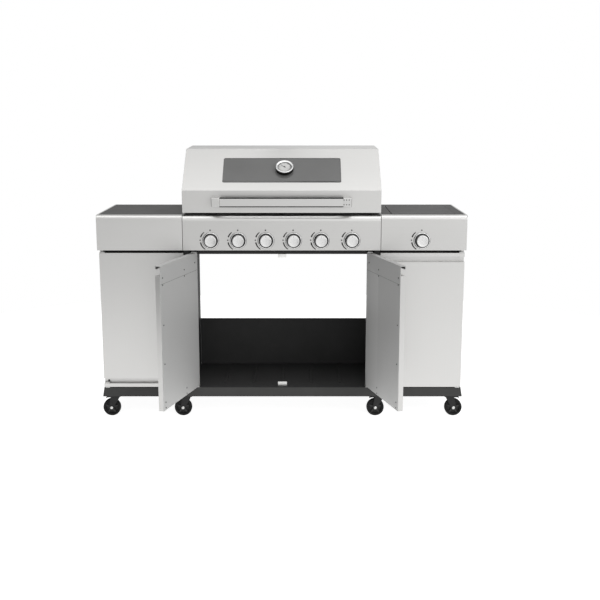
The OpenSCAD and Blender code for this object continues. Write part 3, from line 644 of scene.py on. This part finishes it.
HANDLE_Y, HANDLE_Z = -35, 968
BAR_HALF, CHANNEL_HALF = 263, 262.5
END_MIDDLE, END_HALF_HEIGHT, END_FACE = 280, 19.5, -39.5
BAR_SECTION = [(-5, -15.2), (-5, 15.2), (-4.4, 15.8), (-2.0, 15.8), (-2.0, -15.8), (-4.4, -15.8)]
# The channel's black is partly painted shade: it darkens the lines along the bar's top and bottom edges and,
# in reflection, the hood just above the bar.
CHANNEL_SECTION = [(-2.4, -20), (-2.4, 20), (5, 20), (5, 16), (0, 16), (0, -16), (5, -16), (5, -20)]
# Seen from above: a cheek that wraps from the bar round to the hood
END_OUTLINE = [(-18, END_FACE), (15, END_FACE), (18, -36.5), (18, 5), (16, 10), (-16, 10), (-18, 5)]
RIVET_X, RIVET_Z = (265, 276, 287), (959, 979)
RIVET_PROFILE = [(0, 0.0), (2.3, 0.0), (2.1, 0.5), (1.2, 0.9), (0, 1.0)]


def handle():
    """A flat steel bar set in a black channel, between two steel ends, the right one riveted. The channel's
    black is partly painted shade along the bar's edges.
    """
    m = axes(P(0, HANDLE_Y, HANDLE_Z), (1, 0, 0), (0, 1, 0))
    bm = bmesh.new()
    plate(bm, upright(BAR_SECTION, m), -BAR_HALF, BAR_HALF, m)
    finish_mesh("handle_bar", bm, "lid", STEEL, 50, ("lid_handle",), 0.0004, 2)
    bm = bmesh.new()
    plate(bm, upright(CHANNEL_SECTION, m), -CHANNEL_HALF, CHANNEL_HALF, m)
    finish_mesh("handle_channel_and_shade", bm, "lid", RUBBER_AND_SHADE, 50, (), 0.0003, 2)
    for side, letter in ((-1, "l"), (1, "r")):
        top = axes(P(side * END_MIDDLE, 0, HANDLE_Z), (0, 0, 1), (1, 0, 0))
        bm = bmesh.new()
        plate(bm, END_OUTLINE, -END_HALF_HEIGHT, END_HALF_HEIGHT, top)
        finish_mesh(f"handle_end_{letter}", bm, "lid", STEEL, 35, (), 0.0022, 4)
    bm = bmesh.new()
    for x in RIVET_X:
        for z in RIVET_Z:
            spin(bm, RIVET_PROFILE, axes(P(x, END_FACE, z), OUT), 16)
    finish_mesh("handle_rivets", bm, "lid", RUBBER_AND_SHADE, 40)


handle()

# ---------------------------------------------------------------- casters

CASTER_X, CASTER_Y = (-753, -432, 432, 753), (56, 428)
TRAIL, AXLE_Z = 15, 39  # how far the wheel trails its kingpin, and the axle's height
LEG_OFFSET = 0.0165
SPOKES, SPOKE_TURN = 5, 0.3

TREAD = [
    (31.0, -12.9), (35.0, -12.9), (37.4, -11.6), (38.6, -9.2), (39.0, -6.0), (39.0, -2.2), (38.2, -1.6),
    (38.2, 1.6), (39.0, 2.2), (39.0, 6.0), (38.6, 9.2), (37.4, 11.6), (35.0, 12.9), (31.0, 12.9),
    (29.6, 12.2), (29.6, -12.2), (31.0, -12.9),
]
RIM = [(26.6, -8.0), (29.6, -10.8), (30.2, -11.2), (30.2, 11.2), (29.6, 10.8), (26.6, 8.0), (26.6, -8.0)]
BUSH = [
    (4.05, -13.9), (8.2, -13.9), (9.2, -13.0), (10.2, -7.0), (10.2, 7.0), (9.2, 13.0), (8.2, 13.9),
    (4.05, 13.9), (4.05, -13.9),
]
WEB = [(10.0, -1.5), (27.0, -1.5), (27.0, 1.5), (10.0, 1.5), (10.0, -1.5)]
SPOKE = [(9.4, -3.4), (27.4, -2.2), (27.4, 2.2), (9.4, 3.4)]
SWIVEL_HEAD = [
    (5.05, 84.6), (16.6, 84.6), (18.2, 85.2), (19.0, 86.4), (18.6, 87.6), (17.0, 88.4),
    (5.05, 88.4), (5.05, 84.6),
]
FORK_LEG = [
    (-18.0, 88.2), (18.0, 88.2), (19.0, 84.0), (22.6, 62.0), (25.6, 42.0), (25.2, 36.2), (22.0, 31.4),
    (17.6, 29.4), (12.4, 29.4), (8.0, 31.4), (4.8, 36.2), (3.6, 42.0), (-6.0, 60.0), (-16.5, 79.0),
    (-18.6, 84.0),
]
FORK_BRIDGE = [(-17, -15.2), (17, -15.2), (17, 15.2), (-17, 15.2)]
AXLE_CAP = [(0, 1.2), (6.4, 1.2), (6.6, 1.8), (6.4, 3.2), (5.0, 4.2), (2.6, 4.6), (0, 4.6)]
PEDAL = [(14, 84.2), (30, 84.0), (38, 82.6), (41.8, 80.4), (42.0, 82.6), (38.6, 85.2), (30, 86.4), (14, 86.4)]
PLATE_BOLT = [(0, 91.6), (4.0, 91.6), (4.0, 94.2), (3.4, 94.9), (0, 94.9)]
KINGPIN_CAP = [(0, 80.1), (6.5, 80.1), (8.4, 81.0), (8.9, 83.8), (5.0, 84.0), (5.0, 89.2), (0, 89.2)]


def wheel(number, m):
    """A black tread on a hub with a rim, a bush, a thin web and five spokes."""
    body = f"wheel_{number}"
    cad = (f"caster_wheel_{number}",)
    turned(f"wheel_tread_{number}", [TREAD], m, body, TYRE, [72], cad)
    bm = bmesh.new()
    spin(bm, RIM, m, 60)
    spin(bm, BUSH, m, 40)
    spin(bm, WEB, m, 60)
    for k in range(SPOKES):
        arm = m @ Matrix.Rotation(2 * math.pi * k / SPOKES + SPOKE_TURN, 4, "Z")
        plate(bm, SPOKE, -8.6, 8.6, arm)
    finish_mesh(f"wheel_hub_{number}", bm, body, HUB, 35)


def fork(number, x, y, trail, upward, wheel_axes):
    """A domed swivel head with two pressed legs, the axle with its caps, and the brake pedal."""
    body = f"fork_{number}"
    bm = bmesh.new()
    spin(bm, SWIVEL_HEAD, upward, 48)
    for flip in (-1, 1):
        leg = axes(P(x, y, 0) + Vector((0, flip * LEG_OFFSET, 0)), (0, flip, 0), (trail, 0, 0))
        plate(bm, upright(FORK_LEG, leg), -1.4, 1.4, leg)
    plate(bm, FORK_BRIDGE, 86.2, 88.2, upward)
    cad = (f"caster_fork_{number}",)
    finish_mesh(body, bm, body, BLACK, 35, cad, 0.0007, 2)
    bm = bmesh.new()
    spin(bm, [(3.95, -15), (3.95, 15)], wheel_axes, 24)
    for flip in (-1, 1):
        at = P(x + trail * TRAIL, y, AXLE_Z) + Vector((0, flip * LEG_OFFSET, 0))
        spin(bm, AXLE_CAP, axes(at, (0, flip, 0), (trail, 0, 0)), 24)
    finish_mesh(f"axle_{number}", bm, body, ZINC, 40)
    bm = bmesh.new()
    pedal = axes(P(x, y, 0), (0, -1, 0), (trail, 0, 0))
    plate(bm, upright(PEDAL, pedal), -8.4, 8.4, pedal)
    finish_mesh(f"brake_pedal_{number}", bm, body, HUB, 35, (), 0.0008, 2)


def caster_plate(number, upward):
    """The top plate with its four bolts, and the cap of the kingpin."""
    bm = bmesh.new()
    plate(bm, rounded(52, 40, 5, 5), 89.1, 91.9, upward)
    for bx in (-19, 19):
        for by in (-12, 12):
            bolt = upward @ Matrix.Translation(Vector((bx / 1000, by / 1000, 0)))
            spin(bm, PLATE_BOLT, bolt, 6)
    spin(bm, KINGPIN_CAP, upward, 32)
    all_plates = ("caster_plates",) if number == 1 else ()
    finish_mesh(f"caster_plate_{number}", bm, "cart", BLACK, 35, all_plates, 0.0004, 2)


def caster(number, x, y, trail):
    """One caster; trail is 1 where its wheel stands to the right of the kingpin, -1 to the left."""
    wheel_axes = axes(P(x + trail * TRAIL, y, AXLE_Z), OUT)
    upward = axes(P(x, y, 0), (0, 0, 1), (trail, 0, 0))
    wheel(number, wheel_axes)
    fork(number, x, y, trail, upward, wheel_axes)
    caster_plate(number, upward)


places = [(x, y) for y in CASTER_Y for x in CASTER_X]
for number, (x, y) in enumerate(places, 1):
    caster(number, x, y, 1 if x == max(CASTER_X) else -1)

# ---------------------------------------------------------------- screws and bolts

HALF = 797.0  # half the width over the side panels
BACK_SHEET, CENTRE_BACK_SHEET = 460, 450
SCREW = (5.0, 2.4)  # radius and height of a head
SHELF_BOLT = (6.0, 4.4)
PIVOT_SCREW = (4.2, 2.6)


def screw_head(bm, at, along, size):
    """A low domed head with a dimple in its middle."""
    r, h = size
    m = axes(at, along, (0, 0, 1) if abs(Vector(along).x) > 0.5 else (1, 0, 0))
    profile = [
        (0, 0.0), (r, 0.0), (r, h * 0.25), (r * 0.93, h * 0.6), (r * 0.72, h * 0.88), (r * 0.4, h),
        (r * 0.32, h), (r * 0.28, h * 0.55), (0, h * 0.5),
    ]
    spin(bm, profile, m, 28)


def sheet_screws():
    """The screws of the side panels and of all the back sheets."""
    bm = bmesh.new()
    for side in (-1, 1):
        for z in (738, 154):
            for y in (90, 250, 436):
                screw_head(bm, P(side * HALF, y, z), (side, 0, 0), SCREW)
        for z in (160, 450, 740):
            screw_head(bm, P(side * (HALF - 8), BACK_SHEET, z), (0, 1, 0), SCREW)
            screw_head(bm, P(side * 419.5, BACK_SHEET, z), (0, 1, 0), SCREW)
    for x in (-380, -130, 130, 380):
        for z in (150, 345):
            screw_head(bm, P(x, CENTRE_BACK_SHEET, z), (0, 1, 0), SCREW)
    finish_mesh("screw_heads", bm, "cart", ZINC, 35, ("screws",))


def shelf_bolts():
    """The dark bolts that hold the worktops, on the outer sides of the fascias."""
    bm = bmesh.new()
    for side in (-1, 1):
        for y in (26, 230, 436):
            screw_head(bm, P(side * HALF, y, 902), (side, 0, 0), SHELF_BOLT)
    finish_mesh("shelf_screw_heads", bm, "cart", RUBBER_AND_SHADE, 35)


sheet_screws()
shelf_bolts()
bm = bmesh.new()
screw_head(bm, P(-777, 52.4, 163), OUT, PIVOT_SCREW)
finish_mesh("left_cabinet_door_screw", bm, "left_cabinet_door", RUBBER_AND_SHADE, 35)

# ---------------------------------------------------------------- details on the open doors

OPEN = math.radians(106)
DOOR_LOW, DOOR_TOP = 138, 742
PIVOT_U, PIVOT_X, PIVOT_Y = 12.5, 385, 43  # the pivot's distance from the door's edge, and its place
LINER_FACE = 11  # the inner sheet's distance from the pivot line
DOOR_SCREW = [(0, 0.0), (3.2, 0.0), (3.1, 0.8), (2.0, 1.3), (0, 1.4)]
DOOR_SCREWS = (
    (149, (DOOR_TOP - 53, DOOR_TOP - 80, DOOR_LOW + 32, DOOR_LOW + 7)),
    (374, (DOOR_TOP - 51, DOOR_TOP - 80, 496, 333, DOOR_LOW + 33, DOOR_LOW + 9.5)),
    (30, (DOOR_TOP - 41,)),
)
SEAM_U, SEAM_Z, SEAM_LENGTH = 198, 666, 390


def door_at(side, u, v, z):
    """A point on an open centre door: u from its hinge edge, v towards its inner side, z up."""
    dx = (u - PIVOT_U) * math.cos(OPEN) + v * math.sin(OPEN)
    dy = -(u - PIVOT_U) * math.sin(OPEN) + v * math.cos(OPEN)
    return P(side * (PIVOT_X - dx), PIVOT_Y + dy, z)


def door_details(side, label):
    """The screws on a door's inner sheet, and the seam where it is lapped over the top rail."""
    inward = Vector((-side * math.sin(OPEN), math.cos(OPEN), 0))
    along = Vector((-side * math.cos(OPEN), -math.sin(OPEN), 0))
    bm = bmesh.new()
    for u, heights in DOOR_SCREWS:
        for z in heights:
            spin(bm, DOOR_SCREW, axes(door_at(side, u, LINER_FACE, z), inward, along), 20)
    finish_mesh(f"{label}_door_screws", bm, f"{label}_door", RUBBER_AND_SHADE, 35)
    bm = bmesh.new()
    m = axes(door_at(side, SEAM_U, LINER_FACE, SEAM_Z), inward, along)
    plate(bm, rounded(SEAM_LENGTH, 1.1, 0.3, 2), 0.02, 0.12, m)
    finish_mesh(f"{label}_door_seam", bm, f"{label}_door", KNOB_BODY, 35)


door_details(-1, "left")
door_details(1, "right")

# ---------------------------------------------------------------- window seal, partly painted shadow

SILL = painted("window_sill", (0.20, 0.20, 0.198), 0.4, 0.00001, (0.25, 0.25, 0.25), 0.3)
SEAL_LOW, SEAL_HIGH = -0.0035, -0.0022


def frame_band(bm, outer, inner, low, high, m):
    """Adds a flat closed frame between two outlines that have the same number of points."""
    def ring(outline, z):
        return [bm.verts.new(m @ Vector((x / 1000, y / 1000, z))) for x, y in outline]

    a, b, c, d = ring(outer, low), ring(inner, low), ring(outer, high), ring(inner, high)
    for k in range(len(outer)):
        j = (k + 1) % len(outer)
        bm.faces.new((a[k], a[j], b[j], b[k]))
        bm.faces.new((c[k], d[k], d[j], c[j]))
        bm.faces.new((b[k], b[j], d[j], d[k]))
        bm.faces.new((a[k], c[k], c[j], a[j]))


def window_trim():
    """The black seal round the window, deeper along the bottom, and the grey sill there. The seal's black, in
    its wider band along the top, is partly painted shadow of the opening's edge.
    """
    w, h, r = WINDOW_WIDTH, WINDOW_HEIGHT, WINDOW_CORNER
    m = axes(on_slope(0, WINDOW_START + h / 2, 0.0), OFF_SLOPE)
    sign = up_sign(m)
    outer = rounded(w + 4, h + 4, r + 2, 6)
    # The inner outline sits low, so the seal's band is widest along the top, as painted shadow under the
    # opening's upper edge.
    inner = rounded(w - 4, h - 9, r, 6, 0, sign * -2.4)
    bm = bmesh.new()
    frame_band(bm, outer, inner, SEAL_LOW, SEAL_HIGH, m)
    finish_mesh("window_seal_and_shadow", bm, "lid", RUBBER_AND_SHADE, 35)
    bm = bmesh.new()
    plate(bm, rounded(w - 5, 10.5, 3, 4, 0, sign * -(h / 2 - 6.2)), -2.4, -2.0, m)
    finish_mesh("window_sill", bm, "lid", SILL, 35)


window_trim()

# ---------------------------------------------------------------- floor

FLOOR_RADIUS = 2.9


def pale_floor():
    """A plain pale disc under the grill, which belongs to the stage and not to the object."""
    mesh = bpy.data.meshes.new("floor")
    o = bpy.data.objects.new("floor", mesh)
    scene.collection.objects.link(o)
    bm = bmesh.new()
    bmesh.ops.create_circle(bm, cap_ends=True, radius=FLOOR_RADIUS, segments=96)
    bm.to_mesh(mesh)
    bm.free()
    s = Shader("floor_pale").set(Roughness=0.9)
    speck = s.noise(3.0, (1, 1, 1), 2.0, 0.5)
    s.color(s.ramp(speck, [(0.3, (0.40, 0.40, 0.40)), (0.7, (0.43, 0.43, 0.43))]))
    s.bsdf.inputs["Specular IOR Level"].default_value = 0.1
    s.bsdf.inputs["Emission Color"].default_value = (1, 1, 1, 1)
    s.bsdf.inputs["Emission Strength"].default_value = 0.93
    mesh.materials.append(s.mat)
    return o


floor = pale_floor()
